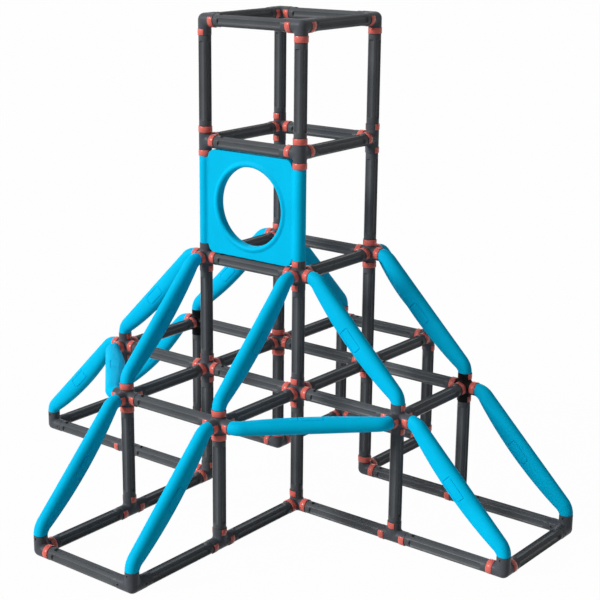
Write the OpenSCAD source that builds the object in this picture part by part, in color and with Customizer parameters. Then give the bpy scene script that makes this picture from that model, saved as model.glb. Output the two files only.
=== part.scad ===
// Toddler climbing gym: a plug-together frame of fluted tubes, socket hubs, locking
// clips, bowed climbing rails and one window panel, built on a cubic grid.
// Millimetres, +Z up. The origin is on the floor, under the middle of the whole frame.
// X runs along the tower's window face, Y runs from the window face to the rear arm.

/* [Grid] */
// Distance between neighbouring hub centres, along every axis
pitch = 400; // [380:5:460]

/* [Tubes] */
// Outside diameter of the tubes, rail ends and panel posts
tube_d = 43; // [41:0.5:45]
// Wall of the necks that plug into the hubs
neck_wall = 4; // [3:0.5:5]
// Chamfer around each end of a tube's body
tube_edge = 1; // [0.5:0.25:1.5]
// Width of each of the four flutes along a tube
flute_w = 20; // [14:1:21]
// Depth of a flute at its middle
flute_depth = 6; // [5:0.1:6.2]
// Plain length between a tube's shoulder and the end of its flutes
flute_end = 18; // [12:1:30]

/* [Hubs] */
// Length of a hub arm, from the hub's centre to its mouth
arm_l = 50; // [47:1:58]
// How far a hub arm stands proud of the tubes
arm_proud = 0.8; // [0.5:0.1:1.2]
// Wall of a hub arm around its socket
socket_wall = 4; // [3:0.5:5]
// Web left between the floors of neighbouring sockets
socket_web = 2.5; // [1.5:0.5:4]
// Chamfer around the mouth of a hub arm
mouth_edge = 0.8; // [0.4:0.2:1.2]

/* [Fits] */
// Radial clearance of a neck in its socket
neck_fit = 0.15; // [0.1:0.05:0.4]
// Free depth between the end of a neck and the socket's floor
neck_gap = 1; // [0.5:0.5:2]
// Radial clearance of a clip around its arm, and of its pin in the arm's hole
clip_fit = 0.1; // [0.05:0.05:0.3]

/* [Clips] */
// Width of a clip, along the arm
clip_w = 20; // [14:1:22]
// Thickness of a clip's band
clip_t = 1.6; // [1.2:0.1:2.2]
// Distance from a clip's outer edge to the arm's mouth
clip_inset = 0.4; // [0.2:0.1:1]
// How far the band reaches each way from the pin, in degrees
clip_reach = 120; // [100:5:130]
// How far a band on the side of a floor arm reaches down from the pin, in degrees
clip_low_reach = 64; // [50:1:66]
// How far that band reaches up from the pin, in degrees
clip_high_reach = 30; // [25:1:60]
// Diameter of the clip's locking pin
pin_d = 6.6; // [5:0.2:8]
// How far the pin bites into the latch groove of the neck
pin_bite = 1; // [0.6:0.1:1.2]
// Depth and side play of that groove
groove_depth = 1.4; // [1.3:0.1:1.8]
groove_play = 1; // [0.5:0.25:2]

/* [Rails] */
// Radius of each 45 degree bend of a rail, at its middle
bend_r = 52; // [46:1:58]
// Swell of a rail towards its inner side, half the growth in depth
belly = 13.5; // [9:0.5:15]
// Width of a rail across its flat sides
rail_w = 50; // [46:1:56]
// Wall of the hollow rails
rail_wall = 3; // [2:0.5:4]

/* [Panel] */
// Diameter of the round window
window_d = 266; // [220:1:280]
// Thickness of the panel's double-walled web
web_t = 26; // [20:1:32]
// Clearance between the web's upper edge and the bar above it
web_over = 2; // [1.5:0.25:4]
// Clearance between the web's lower edge and the clips below it
web_under = 0.5; // [0.25:0.25:3]
// Width of the bead around the window
bead_w = 19; // [14:0.5:24]
// How far the bead stands proud of the web, on each face
bead_proud = 5; // [2:0.5:6]
// Wall of the hollow panel
panel_wall = 3; // [2:0.5:4]
// Clearance of the web around the hubs and their clips
web_fit = 1.5; // [1:0.25:2.5]

/* [Hidden] */
$fn = 64;
cut = 1;

tube_r = tube_d / 2;
arm_r = tube_r + arm_proud;
socket_r = arm_r - socket_wall;
neck_r = socket_r - neck_fit;
bore_r = neck_r - neck_wall;
socket_l = arm_l - socket_r - socket_web;
neck_l = socket_l - neck_gap;
body_l = pitch - 2 * arm_l;
clip_r = arm_r + clip_fit;
clip_top = clip_r + clip_t;
pin_r = pin_d / 2;
pin_from_mouth = clip_inset + clip_w / 2;
groove_half = pin_r + groove_play;
axis_z = tube_r;

// Flute cutter: a round bar that passes through both lips and the flute's bottom.
flute_half = flute_w / 2;
flute_bottom = tube_r - flute_depth;
flute_sag = sqrt(tube_r * tube_r - flute_half * flute_half) - flute_bottom;
flute_r = (flute_half * flute_half + flute_sag * flute_sag) / (2 * flute_sag);
flute_l = body_l - 2 * flute_end;

// A rail in its own frame: s along the diagonal run from its middle, n outwards.
rail_hub_s = pitch / sqrt(2);
rail_mouth = [-rail_hub_s + arm_l * cos(45), arm_l * sin(45)];
bend_centre = rail_mouth + bend_r * [sin(45), -cos(45)];
run_n = bend_centre.y + bend_r;
bend_tuck = 3;
bend_proud = 0.25;
end_wall_angle = rail_wall / bend_r * 180 / PI;
belly_clear = 0.8;
belly_r = tube_r + belly - belly_clear;
belly_half = -rail_mouth.x;
belly_steps = 24;
belly_tip = 8;

// The panel between the two window-face posts, seen from the window side.
window_r = window_d / 2;
web_half_w = pitch / 2;
web_top = pitch / 2 - tube_r - web_over;
web_foot = pitch / 2 - clip_top - web_under;
post_half = pitch / 2 - arm_l;

tube_grey = "#45494c";
hub_grey = "#3d4144";
hub_black = "#131416";
clip_red = "#e0655c";
rail_blue = "#06b4ea";

// Tower corners, counted anticlockwise from the left end of the window face.
CORNERS = [[0, 0], [1, 0], [1, 1], [0, 1]];

// Arms: outward step, the two tower corners they leave from, floor length in grid steps.
FRONT = [[0, -1], [[0, 0], [1, 0]], 2];
RIGHT = [[1, 0], [[1, 0], [1, 1]], 2];
LEFT = [[-1, 0], [[0, 0], [0, 1]], 2];
REAR = [[0, 1], [[0, 1], [1, 1]], 1];

// Hubs: place on the grid, arms, side that the clips on the upright arms face, side that
// those on the level arms face, and the arms that carry no clip. A capital letter is the
// positive direction of its axis. With no letter, level arms face the window side or the right.
TOP_HUBS = [
    [[0, 0, 4], "XYz", "x", "z", ""],
    [[1, 0, 4], "xYz", "X", "z", ""],
    [[1, 1, 4], "xyz", "X", "z", ""],
    [[0, 1, 4], "Xyz", "x", "z", ""],
];
UPPER_HUBS = [
    [[0, 0, 3], "XYZz", "y", "Z", ""],
    [[1, 0, 3], "xYZz", "y", "Z", ""],
    [[1, 1, 3], "xyZz", "Y", "Z", ""],
    [[0, 1, 3], "XyZz", "x", "Z", ""],
];
MIDDLE_HUBS = [
    [[0, 0, 2], "XxYyZz", "Y", "Z", "Z"],
    [[1, 0, 2], "XxYyZz", "x", "Z", ""],
    [[1, 1, 2], "XxYyZz", "y", "Z", ""],
    [[0, 1, 2], "XxYyZz", "x", "Z", ""],
];
LOW_HUBS = [
    [[0, 0, 1], "XxYyZz", "Y", "Z", ""],
    [[1, 0, 1], "XxYyZz", "x", "Z", ""],
    [[1, 1, 1], "XxYyZz", "x", "Z", ""],
    [[0, 1, 1], "XxYyZz", "y", "Z", ""],
];
FRONT_ARM_HUBS = [
    [[0, -1, 1], "XxYyZz", "y", "z", ""],
    [[1, -1, 1], "XxYyZz", "y", "z", ""],
];
RIGHT_ARM_HUB = [[[2, 0, 1], "XxYyZz", "Y", "z", ""]];
LEFT_ARM_HUB = [[[-1, 0, 1], "XxYyZz", "Y", "Z", ""]];
BLACK_ARM_HUBS = [
    [[2, 1, 1], "XxyZz", "Y", "Z", ""],
    [[-1, 1, 1], "XxyZz", "Y", "Z", "XZz"],
];
REAR_ARM_HUBS = [
    [[0, 2, 1], "XyZz", "y", "Z", ""],
    [[1, 2, 1], "xyZz", "Y", "Z", ""],
];
TOWER_FLOOR_HUBS = [
    [[0, 0, 0], "xyZ", "Y", "Z", ""],
    [[1, 0, 0], "XyZ", "x", "Z", ""],
    [[1, 1, 0], "XYZ", "y", "Z", ""],
    [[0, 1, 0], "xYZ", "y", "Z", ""],
];
FRONT_TEES = [
    [[0, -1, 0], "YyZ", "Y", "", ""],
    [[1, -1, 0], "YyZ", "Y", "", ""],
];
RIGHT_TEES = [
    [[2, 0, 0], "XxZ", "x", "", ""],
    [[2, 1, 0], "XxZ", "x", "", ""],
];
LEFT_TEES = [
    [[-1, 0, 0], "XxZ", "Y", "", ""],
    [[-1, 1, 0], "XxZ", "Y", "", ""],
];
FRONT_CORNERS = [
    [[0, -2, 0], "XYZ", "y", "Z", "Z"],
    [[1, -2, 0], "xYZ", "y", "", "xYZ"],
];
RIGHT_CORNERS = [
    [[3, 0, 0], "xYZ", "y", "Z", "Z"],
    [[3, 1, 0], "xyZ", "y", "", "xyZ"],
];
LEFT_CORNERS = [
    [[-2, 0, 0], "XYZ", "y", "", "XYZ"],
    [[-2, 1, 0], "XyZ", "x", "Z", "Z"],
];
REAR_CORNERS = [
    [[0, 2, 0], "XyZ", "y", "Z", ""],
    [[1, 2, 0], "xyZ", "Y", "Z", ""],
];
FLOOR_HUBS = concat(TOWER_FLOOR_HUBS, FRONT_TEES, RIGHT_TEES, LEFT_TEES,
                    FRONT_CORNERS, RIGHT_CORNERS, LEFT_CORNERS, REAR_CORNERS);
ARM_LEVEL_HUBS = concat(LOW_HUBS, FRONT_ARM_HUBS, RIGHT_ARM_HUB, LEFT_ARM_HUB,
                        BLACK_ARM_HUBS, REAR_ARM_HUBS);

// Centre of a hub from its place on the grid.
function place(g) = [(g.x - 0.5) * pitch, g.y * pitch, axis_z + g.z * pitch];

// Unit direction of an arm letter.
function heading(letter) =
    letter == "X" ? [1, 0, 0] : letter == "x" ? [-1, 0, 0] :
    letter == "Y" ? [0, 1, 0] : letter == "y" ? [0, -1, 0] :
    letter == "Z" ? [0, 0, 1] : [0, 0, -1];

// Side of a hub's arm that its pin hole faces.
function pin_side(row, arm) =
    heading(arm).z != 0 ? heading(row[2]) :
    row[3] != "" ? heading(row[3]) :
    heading(arm).x != 0 ? [0, -1, 0] : [1, 0, 0];

// Whether a string holds a letter.
function holds(text, letter) = len(search(letter, text)) > 0;

// Points the children's +Z along a direction and their +X to a side square to it.
module aim(along, side) {
    third = cross(along, side);
    multmatrix([[side.x, third.x, along.x, 0],
                [side.y, third.y, along.y, 0],
                [side.z, third.z, along.z, 0],
                [0, 0, 0, 1]])
        children();
}

// Neck of a tube, rail or post: rises from its shoulder at z = 0, with the latch groove.
module neck_outline() {
    polygon([[bore_r, 0], [neck_r, 0],
             [neck_r, pin_from_mouth - groove_half],
             [neck_r - groove_depth, pin_from_mouth - groove_half],
             [neck_r - groove_depth, pin_from_mouth + groove_half],
             [neck_r, pin_from_mouth + groove_half],
             [neck_r, neck_l - tube_edge], [neck_r - tube_edge, neck_l],
             [bore_r, neck_l]]);
}

// Turned body of a tube, lying on its own Z axis about its middle, with both necks.
module tube_body(half) {
    rotate_extrude() {
        polygon([[bore_r, -half], [tube_r - tube_edge, -half], [tube_r, tube_edge - half],
                 [tube_r, half - tube_edge], [tube_r - tube_edge, half], [bore_r, half]]);
        translate([0, half]) neck_outline();
        mirror([0, 1]) translate([0, half]) neck_outline();
    }
}

// One fluted tube on its own Z axis, about its middle.
module tube() {
    color(tube_grey)
        difference() {
            tube_body(body_l / 2);
            for (turn = [0 : 90 : 270])
                rotate(turn)
                    translate([flute_bottom + flute_r, 0, -flute_l / 2])
                        cylinder(r = flute_r, h = flute_l, $fn = 180);
        }
}

// A tube between two neighbouring grid places.
module bar(from, to) {
    along = to - from;
    side = abs(along.z) > 0 ? [1, 0, 0] : [0, 0, 1];
    translate((place(from) + place(to)) / 2) aim(along, side) tube();
}

// The upright tubes of the tower in one storey, at the corners given.
module tower_posts(level, corners) {
    for (c = corners)
        bar([c.x, c.y, level], [c.x, c.y, level + 1]);
}

// The four level tubes around the tower at one level.
module tower_bars(level) {
    for (n = [0 : 3]) {
        a = CORNERS[n];
        b = CORNERS[(n + 1) % 4];
        bar([a.x, a.y, level], [b.x, b.y, level]);
    }
}

// Grid place a number of steps out along an arm, from one of its tower corners.
function out(arm, corner, steps, level) =
    let (xy = arm[1][corner] + steps * arm[0]) [xy.x, xy.y, level];

// The two posts at the end of an arm.
module arm_posts(arm) {
    for (c = [0, 1])
        bar(out(arm, c, 1, 0), out(arm, c, 1, 1));
}

// The level tubes of an arm, with the crossbar at its end.
module arm_bars(arm) {
    for (c = [0, 1])
        bar(out(arm, c, 0, 1), out(arm, c, 1, 1));
    bar(out(arm, 0, 1, 1), out(arm, 1, 1, 1));
}

// The floor tubes of an arm, with the crossbar at its far end.
module floor_bars(arm) {
    for (c = [0, 1], step = [1 : arm[2]])
        bar(out(arm, c, step - 1, 0), out(arm, c, step, 0));
    bar(out(arm, 0, arm[2], 0), out(arm, 1, arm[2], 0));
}

// Outside of one hub arm, from the hub's centre along +Z.
module hub_arm() {
    cylinder(r = arm_r, h = arm_l - mouth_edge);
    translate([0, 0, arm_l - mouth_edge])
        cylinder(r1 = arm_r, r2 = arm_r - mouth_edge, h = mouth_edge);
}

// Socket of one hub arm with its pin hole, which faces +X.
module hub_socket() {
    translate([0, 0, arm_l - socket_l]) cylinder(r = socket_r, h = socket_l + cut);
    translate([0, 0, arm_l - pin_from_mouth])
        rotate([0, 90, 0]) cylinder(r = pin_r + clip_fit, h = arm_r + cut);
}

// One hub in place. A hub on the floor is cut flat where it stands.
module hub(row) {
    arms = row[1];
    translate(place(row[0]))
        difference() {
            union() {
                sphere(r = arm_r);
                for (a = arms)
                    aim(heading(a), pin_side(row, a)) hub_arm();
            }
            for (a = arms)
                aim(heading(a), pin_side(row, a)) hub_socket();
            if (row[0].z == 0)
                translate([0, 0, -axis_z - 2 * arm_l])
                    translate([-2 * arm_l, -2 * arm_l, 0])
                        cube([4 * arm_l, 4 * arm_l, 2 * arm_l]);
        }
}

// A group of hubs of one colour.
module hubs(rows, shade = hub_grey) {
    color(shade)
        for (row = rows)
            hub(row);
}

// One locking clip on an arm along +Z, its pin facing +X. The band runs from one angle
// to another about the arm.
module clip(from, to) {
    translate([0, 0, arm_l - clip_inset - clip_w])
        rotate(from)
            rotate_extrude(angle = to - from)
                translate([clip_r, 0]) square([clip_t, clip_w]);
    translate([0, 0, arm_l - pin_from_mouth])
        rotate([0, 90, 0])
            translate([0, 0, neck_r - pin_bite])
                cylinder(r = pin_r, h = clip_r + clip_t / 2 - neck_r + pin_bite);
}

// The clips of a list of hubs. A band on the side of a floor arm stops short of the floor
// below and of the arm's top above.
module clips(rows) {
    color(clip_red)
        for (row = rows, a = row[1])
            if (!holds(row[4], a)) {
                along = heading(a);
                side = pin_side(row, a);
                grounded = row[0].z == 0 && along.z == 0 && side.z == 0;
                low_is_first = cross(along, side).z > 0;
                low = grounded ? clip_low_reach : clip_reach;
                high = grounded ? clip_high_reach : clip_reach;
                translate(place(row[0]))
                    aim(along, side)
                        clip(low_is_first ? -low : -high, low_is_first ? high : low);
            }
}

// Round stock of a rail on its own path: both bends and the straight run between them,
// about the rail's middle, in the s-n plane laid out as X and Y. The run tucks into the
// bends, which stand a little proud of it and can stop short of the hubs.
module rail_run(r, short) {
    run_half = -bend_centre.x + bend_tuck;
    translate([0, run_n, 0])
        rotate([0, 90, 0])
            cylinder(r = r, h = 2 * run_half, center = true);
    for (end = [-1, 1])
        translate([-end * bend_centre.x, bend_centre.y, 0])
            rotate(end < 0 ? 90 : 45 + short)
                rotate_extrude(angle = 45 - short)
                    translate([bend_r, 0]) circle(r = r + bend_proud);
}

// Half of an ellipse about a rail's length, with its pointed tips cut off.
module belly_outline(r, half) {
    polygon([[0, -half * cos(belly_tip)],
             for (i = [0 : belly_steps])
                 let (t = belly_tip + (180 - 2 * belly_tip) * i / belly_steps)
                 [r * sin(t), -half * cos(t)],
             [0, half * cos(belly_tip)]]);
}

// The swell on a rail's inner side: an ellipse turned about a line inside the run and
// cut to the rail's width.
module rail_belly(inset) {
    intersection() {
        translate([0, run_n - belly, 0])
            rotate([0, 90, 0])
                rotate_extrude() belly_outline(belly_r - inset, belly_half - inset);
        cube([4 * belly_half, 4 * belly_half, rail_w - 2 * inset], center = true);
    }
}

// A rail between two hubs: it leaves the first along one direction and comes into the
// second square to it, from the side that the second direction points to.
module rail(from, leave, enter) {
    color(rail_blue)
        translate(place(from))
            multmatrix([[leave.x, enter.x, 0, 0],
                        [leave.y, enter.y, 0, 0],
                        [leave.z, enter.z, 0, 0],
                        [0, 0, 0, 1]] + thickness_column(leave, enter))
                translate([pitch / 2, -pitch / 2, 0]) rotate(-45) rail_shell();
}

// Third column of the rail's placing matrix, square to its plane.
function thickness_column(leave, enter) =
    let (v = cross(leave, enter))
    [[0, 0, v.x, 0], [0, 0, v.y, 0], [0, 0, v.z, 0], [0, 0, 0, 0]];

// Hollow rail with a neck at each end, about its middle, in the s-n plane.
module rail_shell() {
    difference() {
        union() {
            rail_run(tube_r - bend_proud, 0);
            rail_belly(0);
            at_rail_ends() rail_neck();
        }
        rail_run(tube_r - bend_proud - rail_wall, end_wall_angle);
        rail_belly(rail_wall);
        at_rail_ends() rail_neck_bore();
    }
}

// Turns the children's +Z from a rail's end into its hub, at both ends.
module at_rail_ends() {
    for (end = [-1, 1])
        translate([-end * rail_mouth.x, rail_mouth.y, 0])
            rotate(-45 * end) rotate([0, 90 * end, 0]) children();
}

// Neck at a rail's end, rooted in the end wall.
module rail_neck() {
    rotate_extrude() neck_outline();
    translate([0, 0, -rail_wall / 2]) cylinder(r = neck_r, h = rail_wall);
}

module rail_neck_bore() {
    translate([0, 0, -2 * rail_wall]) cylinder(r = bore_r, h = neck_l + 2 * rail_wall + cut);
}

// Outline of the panel's web about its centre, drawn in by an inset.
module web_outline(inset) {
    side = web_half_w - tube_r - inset;
    square([2 * side, 2 * post_half], center = true);
    for (up_or_down = [-1, 1]) {
        top = (up_or_down > 0 ? web_top : web_foot) - inset;
        r = top - post_half;
        hull_w = side - r;
        translate([-hull_w, up_or_down > 0 ? 0 : -top]) square([2 * hull_w, top]);
        for (sx = [-1, 1])
            translate([sx * hull_w, up_or_down * post_half]) circle(r = r);
    }
    if (inset == 0)
        square([2 * web_half_w, 2 * post_half], center = true);
}

// Bead around the window, in section: its inner edge is the window's edge.
module bead_outline() {
    half = bead_w / 2;
    reach = web_t / 2 + bead_proud - half;
    translate([window_r + half, 0]) {
        square([bead_w, 2 * reach], center = true);
        for (s = [-1, 1])
            translate([0, s * reach]) circle(r = half);
    }
}

// Room for a hub's upright arm and its clip at one corner of the web.
module hub_room() {
    cylinder(r = clip_top + web_fit, h = 2 * arm_l, center = true);
}

// The window panel: two posts, a hollow web between them and the bead.
module window_panel() {
    middle = (place([0, 0, 2]) + place([1, 0, 3])) / 2;
    color(rail_blue)
        translate(middle) {
            for (s = [-1, 1])
                translate([s * web_half_w, 0, 0]) tube_body(post_half);
            difference() {
                rotate([90, 0, 0])
                    linear_extrude(web_t, center = true) web_outline(0);
                rotate([90, 0, 0])
                    linear_extrude(web_t - 2 * panel_wall, center = true)
                        difference() {
                            web_outline(panel_wall);
                            circle(r = window_r + bead_w);
                        }
                rotate([90, 0, 0])
                    cylinder(r = window_r + bead_w / 2, h = web_t + cut, center = true);
                for (sx = [-1, 1], sz = [-1, 1])
                    translate([sx * web_half_w, 0, sz * pitch / 2]) hub_room();
                for (sx = [-1, 1])
                    translate([sx * web_half_w, 0, 0])
                        cylinder(r = (tube_r + bore_r) / 2, h = pitch, center = true);
            }
            rotate([90, 0, 0]) rotate_extrude() bead_outline();
        }
}

up = [0, 0, 1];
ahead = [0, -1, 0];
behind = [0, 1, 0];
rightward = [1, 0, 0];
leftward = [-1, 0, 0];

tower_posts(0, CORNERS);  // tower_floor_posts
tower_posts(1, CORNERS);  // tower_low_posts
tower_posts(2, [CORNERS[2], CORNERS[3]]);  // tower_middle_posts
tower_posts(3, CORNERS);  // tower_top_posts
tower_bars(1);  // tower_low_bars
tower_bars(2);  // tower_middle_bars
tower_bars(3);  // tower_upper_bars
tower_bars(4);  // tower_top_bars
arm_posts(FRONT);  // front_arm_posts
arm_posts(RIGHT);  // right_arm_posts
arm_posts(LEFT);  // left_arm_posts
arm_posts(REAR);  // rear_arm_posts
arm_bars(FRONT);  // front_arm_bars
arm_bars(RIGHT);  // right_arm_bars
arm_bars(LEFT);  // left_arm_bars
arm_bars(REAR);  // rear_arm_bars
floor_bars(FRONT);  // front_floor_bars
floor_bars(RIGHT);  // right_floor_bars
floor_bars(LEFT);  // left_floor_bars
floor_bars(REAR);  // rear_floor_bars
hubs(TOP_HUBS);  // top_hubs
hubs(UPPER_HUBS);  // upper_hubs
hubs(MIDDLE_HUBS);  // middle_hubs
hubs(LOW_HUBS);  // low_hubs
hubs(FRONT_ARM_HUBS);  // front_arm_hubs
hubs(RIGHT_ARM_HUB);  // right_arm_hub
hubs(LEFT_ARM_HUB);  // left_arm_hub
hubs(BLACK_ARM_HUBS, hub_black);  // black_arm_hubs
hubs(REAR_ARM_HUBS);  // rear_arm_hubs
hubs(TOWER_FLOOR_HUBS);  // tower_floor_hubs
hubs(FRONT_TEES);  // front_floor_tees
hubs(RIGHT_TEES);  // right_floor_tees
hubs(LEFT_TEES);  // left_floor_tees
hubs(FRONT_CORNERS);  // front_floor_corners
hubs(RIGHT_CORNERS);  // right_floor_corners
hubs(LEFT_CORNERS);  // left_floor_corners
hubs(REAR_CORNERS);  // rear_floor_corners
rail([0, 0, 2], ahead, up);  // front_left_upper_rail
rail([1, 0, 2], ahead, up);  // front_right_upper_rail
rail([0, -1, 1], ahead, up);  // front_left_lower_rail
rail([1, -1, 1], ahead, up);  // front_right_lower_rail
rail([1, 0, 2], rightward, up);  // right_near_upper_rail
rail([1, 1, 2], rightward, up);  // right_far_upper_rail
rail([2, 0, 1], rightward, up);  // right_near_lower_rail
rail([2, 1, 1], rightward, up);  // right_far_lower_rail
rail([0, 0, 2], leftward, up);  // left_near_upper_rail
rail([0, 1, 2], leftward, up);  // left_far_upper_rail
rail([-1, 0, 1], leftward, up);  // left_near_lower_rail
rail([-1, 1, 1], leftward, up);  // left_far_lower_rail
rail([0, 1, 2], behind, up);  // rear_left_upper_rail
rail([1, 1, 2], behind, up);  // rear_right_upper_rail
rail([1, -1, 1], rightward, ahead);  // right_corner_rail
rail([0, -1, 1], leftward, ahead);  // left_corner_rail
window_panel();
clips(FLOOR_HUBS);  // floor_clips
clips(ARM_LEVEL_HUBS);  // arm_level_clips
clips(MIDDLE_HUBS);  // middle_clips
clips(UPPER_HUBS);  // upper_clips
clips(TOP_HUBS);  // top_clips
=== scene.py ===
"""Toddler climbing gym: the visible surfaces, finishes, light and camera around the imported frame."""

import math

import bpy
import numpy as np
from bpy.props import FloatProperty, FloatVectorProperty, PointerProperty
from bpy.types import Operator, Panel, PropertyGroup
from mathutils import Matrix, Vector


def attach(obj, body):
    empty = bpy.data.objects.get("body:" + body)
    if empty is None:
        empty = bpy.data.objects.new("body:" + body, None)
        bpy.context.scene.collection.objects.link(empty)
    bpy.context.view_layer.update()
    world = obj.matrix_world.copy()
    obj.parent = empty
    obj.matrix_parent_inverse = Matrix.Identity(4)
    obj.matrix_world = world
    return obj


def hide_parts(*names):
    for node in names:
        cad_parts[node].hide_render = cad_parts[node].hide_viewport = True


bl_info = {
    "name": "Toddler climbing gym",
    "version": (1, 0, 0),
    "blender": (4, 5, 0),
    "location": "View3D > Sidebar > Climbing Gym",
    "description": "Builds the tubes, hubs, clips, rails and window panel of a climbing frame",
    "category": "Object",
}

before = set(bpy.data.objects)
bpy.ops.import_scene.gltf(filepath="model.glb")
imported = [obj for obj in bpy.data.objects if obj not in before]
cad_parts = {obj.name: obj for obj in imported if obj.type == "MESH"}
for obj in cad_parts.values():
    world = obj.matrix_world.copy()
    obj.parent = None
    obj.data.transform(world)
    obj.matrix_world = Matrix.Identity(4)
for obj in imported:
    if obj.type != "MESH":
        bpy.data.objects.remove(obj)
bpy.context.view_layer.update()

MM = 0.001
EIGHTH_TURN = math.pi / 4
QUARTER_TURN = math.pi / 2

# Grid places, as steps along X, Y and Z from the tower's near left corner at the floor.
CORNERS = ((0, 0), (1, 0), (1, 1), (0, 1))
# Each arm: its outward step, the tower corners it leaves from, its floor length in steps.
ARMS = {
    "front": ((0, -1), ((0, 0), (1, 0)), 2),
    "right": ((1, 0), ((1, 0), (1, 1)), 2),
    "left": ((-1, 0), ((0, 0), (0, 1)), 2),
    "rear": ((0, 1), ((0, 1), (1, 1)), 1),
}
# Each hub: its place, its arms, the side that clips on its upright arms face, the side that
# those on its level arms face, and the arms that carry no clip. A capital letter is the
# positive direction of its axis. With no letter, level arms face the window side or the right.
HUBS = {
    "top_hubs": [
        ((0, 0, 4), "XYz", "x", "z", ""), ((1, 0, 4), "xYz", "X", "z", ""),
        ((1, 1, 4), "xyz", "X", "z", ""), ((0, 1, 4), "Xyz", "x", "z", ""),
    ],
    "upper_hubs": [
        ((0, 0, 3), "XYZz", "y", "Z", ""), ((1, 0, 3), "xYZz", "y", "Z", ""),
        ((1, 1, 3), "xyZz", "Y", "Z", ""), ((0, 1, 3), "XyZz", "x", "Z", ""),
    ],
    "middle_hubs": [
        ((0, 0, 2), "XxYyZz", "Y", "Z", "Z"), ((1, 0, 2), "XxYyZz", "x", "Z", ""),
        ((1, 1, 2), "XxYyZz", "y", "Z", ""), ((0, 1, 2), "XxYyZz", "x", "Z", ""),
    ],
    "low_hubs": [
        ((0, 0, 1), "XxYyZz", "Y", "Z", ""), ((1, 0, 1), "XxYyZz", "x", "Z", ""),
        ((1, 1, 1), "XxYyZz", "x", "Z", ""), ((0, 1, 1), "XxYyZz", "y", "Z", ""),
    ],
    "front_arm_hubs": [((0, -1, 1), "XxYyZz", "y", "z", ""), ((1, -1, 1), "XxYyZz", "y", "z", "")],
    "right_arm_hub": [((2, 0, 1), "XxYyZz", "Y", "z", "")],
    "left_arm_hub": [((-1, 0, 1), "XxYyZz", "Y", "Z", "")],
    "black_arm_hubs": [((2, 1, 1), "XxyZz", "Y", "Z", ""), ((-1, 1, 1), "XxyZz", "Y", "Z", "XZz")],
    "rear_arm_hubs": [((0, 2, 1), "XyZz", "y", "Z", ""), ((1, 2, 1), "xyZz", "Y", "Z", "")],
    "tower_floor_hubs": [
        ((0, 0, 0), "xyZ", "Y", "Z", ""), ((1, 0, 0), "XyZ", "x", "Z", ""),
        ((1, 1, 0), "XYZ", "y", "Z", ""), ((0, 1, 0), "xYZ", "y", "Z", ""),
    ],
    "front_floor_tees": [((0, -1, 0), "YyZ", "Y", "", ""), ((1, -1, 0), "YyZ", "Y", "", "")],
    "right_floor_tees": [((2, 0, 0), "XxZ", "x", "", ""), ((2, 1, 0), "XxZ", "x", "", "")],
    "left_floor_tees": [((-1, 0, 0), "XxZ", "Y", "", ""), ((-1, 1, 0), "XxZ", "Y", "", "")],
    "front_floor_corners": [((0, -2, 0), "XYZ", "y", "Z", "Z"), ((1, -2, 0), "xYZ", "y", "", "xYZ")],
    "right_floor_corners": [((3, 0, 0), "xYZ", "y", "Z", "Z"), ((3, 1, 0), "xyZ", "y", "", "xyZ")],
    "left_floor_corners": [((-2, 0, 0), "XYZ", "y", "", "XYZ"), ((-2, 1, 0), "XyZ", "x", "Z", "Z")],
    "rear_floor_corners": [((0, 2, 0), "XyZ", "y", "Z", ""), ((1, 2, 0), "xyZ", "Y", "Z", "")],
}
BLACK_NODE = "black_arm_hubs"
CLIP_LEVELS = {
    "floor_clips": 0, "arm_level_clips": 1, "middle_clips": 2, "upper_clips": 3, "top_clips": 4,
}
HEADING = {
    "X": (1, 0, 0), "x": (-1, 0, 0), "Y": (0, 1, 0), "y": (0, -1, 0), "Z": (0, 0, 1), "z": (0, 0, -1),
}
# The way that each arm's rails leave the tower, and the names of the arm's two sides.
RAIL_SIDES = {
    "front": ("y", "left", "right"),
    "right": ("X", "near", "far"),
    "left": ("x", "near", "far"),
    "rear": ("Y", "left", "right"),
}
STOREYS = ("upper", "lower")

# Shoulders and necks. A shoulder's rows and how far it is drawn in there are shares of its edge.
SHOULDER_ALONG = np.array([0.0, 0.15, 0.5, 1.0])
SHOULDER_IN = np.array([1.0, 0.5, 0.13, 0.0])
NECK_BEVEL = 1.2 * MM
NECK_CAP_SHARE = 0.4

# Flutes of the tubes: the angles of a quarter turn's points, edge rounding, and the run-out.
FLUTE_DEG = np.array([0, 6, 12, 18, 23, 26, 28, 30, 33, 38, 45, 52, 57, 60, 62, 64, 67, 72, 78, 84])
FLUTE_EDGE = 0.9 * MM
FLUTE_REACH_SHARE = 0.999
FLUTE_RISE = 3.0 * MM
FLUTE_BOW = 3.0 * MM
FLUTE_BOW_DEG = 28.0
RUN_OUT_LEAD = 0.6 * MM
RUN_OUT_TAIL = 0.4 * MM
RUN_OUT_ROWS = 10
PLAIN_ROW = 4.0 * MM
MIDDLE_SHARES = np.array([0.8, 0.4, 0.0])

# Hubs: angles of a side's points from its middle, finer where a bare arm shows its pin hole.
PLAIN_HUB_DEG = np.array([0, 7.5, 15, 22.5, 30, 37.5, 45])
BARE_HUB_DEG = np.array([0, 2.5, 5, 6.8, 7.8, 8.6, 9.6, 12, 16, 22, 29, 37, 45])
SLEEVE_SHARES = np.array([0.06, 0.14, 0.24, 0.36, 0.5, 0.65, 1.0])
PLAIN_SLEEVE_END = 8.0 * MM
BARE_SLEEVE_END = 14.5 * MM
PIT_ROWS = np.array([-3.2, -2.6, -2.0, -1.2, 0, 1.2, 2.0, 2.6, 3.2, 4.4, 7.4]) * MM
PIT_DEPTH = 3.4 * MM
PIT_LIP = 0.3 * MM
PIT_WALL = 0.7 * MM
LIP_START = 0.9 * MM
LIP_DROP = np.array([0.25, 0.0]) * MM
LIP_IN = np.array([0.2, 0.8]) * MM
SOCKET_CAP_SHARE = 0.3
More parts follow.
